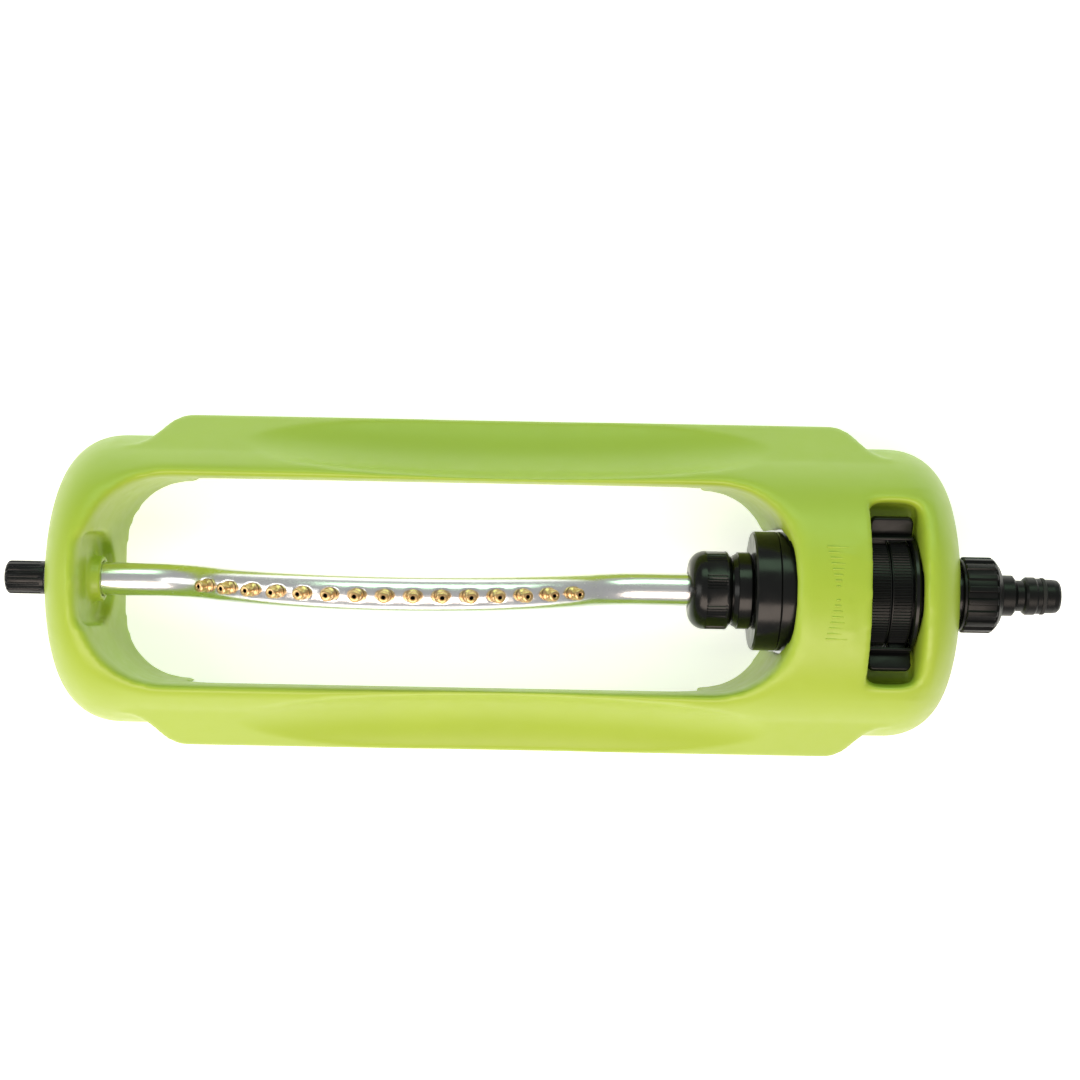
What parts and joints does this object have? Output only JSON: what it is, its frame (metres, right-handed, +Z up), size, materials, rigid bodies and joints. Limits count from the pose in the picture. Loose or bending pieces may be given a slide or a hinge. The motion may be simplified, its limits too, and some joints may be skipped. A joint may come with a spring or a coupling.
{
  "type": "oscillating lawn sprinkler",
  "caption": "Oscillating lawn sprinkler: green tunnel-shaped base, arched aluminium spray tube with brass jets, water motor with two range rings, quick-connect hose inlet.",
  "frame": {"origin": "centre of the bounding box on the ground plane, under the swing axis", "axes": "+X along the spray tube towards the hose inlet, +Z up, +Y across"},
  "size_m": [0.477, 0.1544, 0.0895],
  "materials": {
    "green_plastic": "lime green injection-moulded polypropylene, semi-gloss",
    "black_plastic": "black moulded plastic, satin",
    "white_plastic": "natural acetal",
    "rubber": "black nitrile seal",
    "aluminium": "mirror-polished drawn tube",
    "brass": "turned brass",
    "steel": "stainless steel"
  },
  "bodies": {
    "base": {"base_shell": "green_plastic", "bottom_cover": "black_plastic", "cover_screws": "steel", "tube_bush": "white_plastic", "motor_front": "black_plastic", "motor_housing": "black_plastic", "motor_seal": "rubber", "rear_cap": "black_plastic", "jet_plate": "white_plastic", "gear_plate": "white_plastic", "arbor": "steel", "lay_shaft": "steel", "inlet_filter": "white_plastic", "inlet_washer": "rubber", "hose_nipple": "black_plastic", "nipple_oring": "rubber"},
    "spray_arm": {"output_hub": "black_plastic", "ring_gear": "white_plastic", "hub_seal": "rubber", "thrust_washer": "white_plastic", "tube_nut": "black_plastic", "gland_seal": "rubber", "spray_tube": "aluminium", "spray_nozzles": "brass"},
    "plug": {"end_plug": "black_plastic", "plug_oring": "rubber", "cleaning_needle": "steel"},
    "gear_3": {"gear_3": "white_plastic"},
    "gear_2": {"gear_2": "white_plastic"},
    "gear_1": {"gear_1": "white_plastic"},
    "turbine": {"turbine": "white_plastic"},
    "jet_selector": {"jet_selector": "white_plastic"},
    "range_ring_front": {"range_ring_front": "black_plastic"},
    "range_ring_rear": {"range_ring_rear": "black_plastic"},
    "swivel_nut": {"swivel_nut": "black_plastic"}
  },
  "joints": [
    {"name": "tube_swing", "type": "hinge", "parent": "base", "child": "spray_arm", "pos_m": [0, 0, 0.042], "axis": [1, 0, 0], "range_deg": [-51.5, 38.5]},
    {"name": "plug_pull", "type": "slide", "parent": "spray_arm", "child": "plug", "axis": [-1, 0, 0], "range_m": [0, 0.035]},
    {"name": "gear_3_spin", "type": "hinge", "parent": "base", "child": "gear_3", "pos_m": [0, 0, 0.03], "axis": [1, 0, 0], "range_deg": [-260, 195]},
    {"name": "gear_2_spin", "type": "hinge", "parent": "base", "child": "gear_2", "pos_m": [0, 0, 0.042], "axis": [1, 0, 0], "range_deg": [-580, 775]},
    {"name": "gear_1_spin", "type": "hinge", "parent": "base", "child": "gear_1", "pos_m": [0, 0, 0.03], "axis": [1, 0, 0], "range_deg": [-2320, 1735]},
    {"name": "turbine_spin", "type": "hinge", "parent": "base", "child": "turbine", "pos_m": [0, 0, 0.042], "axis": [1, 0, 0], "range_deg": [-5200, 6955]},
    {"name": "selector_turn", "type": "hinge", "parent": "base", "child": "jet_selector", "pos_m": [0, 0, 0.042], "axis": [1, 0, 0], "range_deg": [-12, 12]},
    {"name": "front_ring_turn", "type": "hinge", "parent": "base", "child": "range_ring_front", "pos_m": [0, 0, 0.042], "axis": [1, 0, 0], "range_deg": [0, 60]},
    {"name": "rear_ring_turn", "type": "hinge", "parent": "base", "child": "range_ring_rear", "pos_m": [0, 0, 0.042], "axis": [1, 0, 0], "range_deg": [-60, 0]},
    {"name": "nut_spin", "type": "hinge", "parent": "base", "child": "swivel_nut", "pos_m": [0, 0, 0.042], "axis": [1, 0, 0], "continuous": true}
  ],
  "couplings": [
    {"joint": "gear_3_spin", "follows": "tube_swing", "ratio": 5},
    {"joint": "gear_2_spin", "follows": "tube_swing", "ratio": -15},
    {"joint": "gear_1_spin", "follows": "tube_swing", "ratio": 45},
    {"joint": "turbine_spin", "follows": "tube_swing", "ratio": -135}
  ]
}
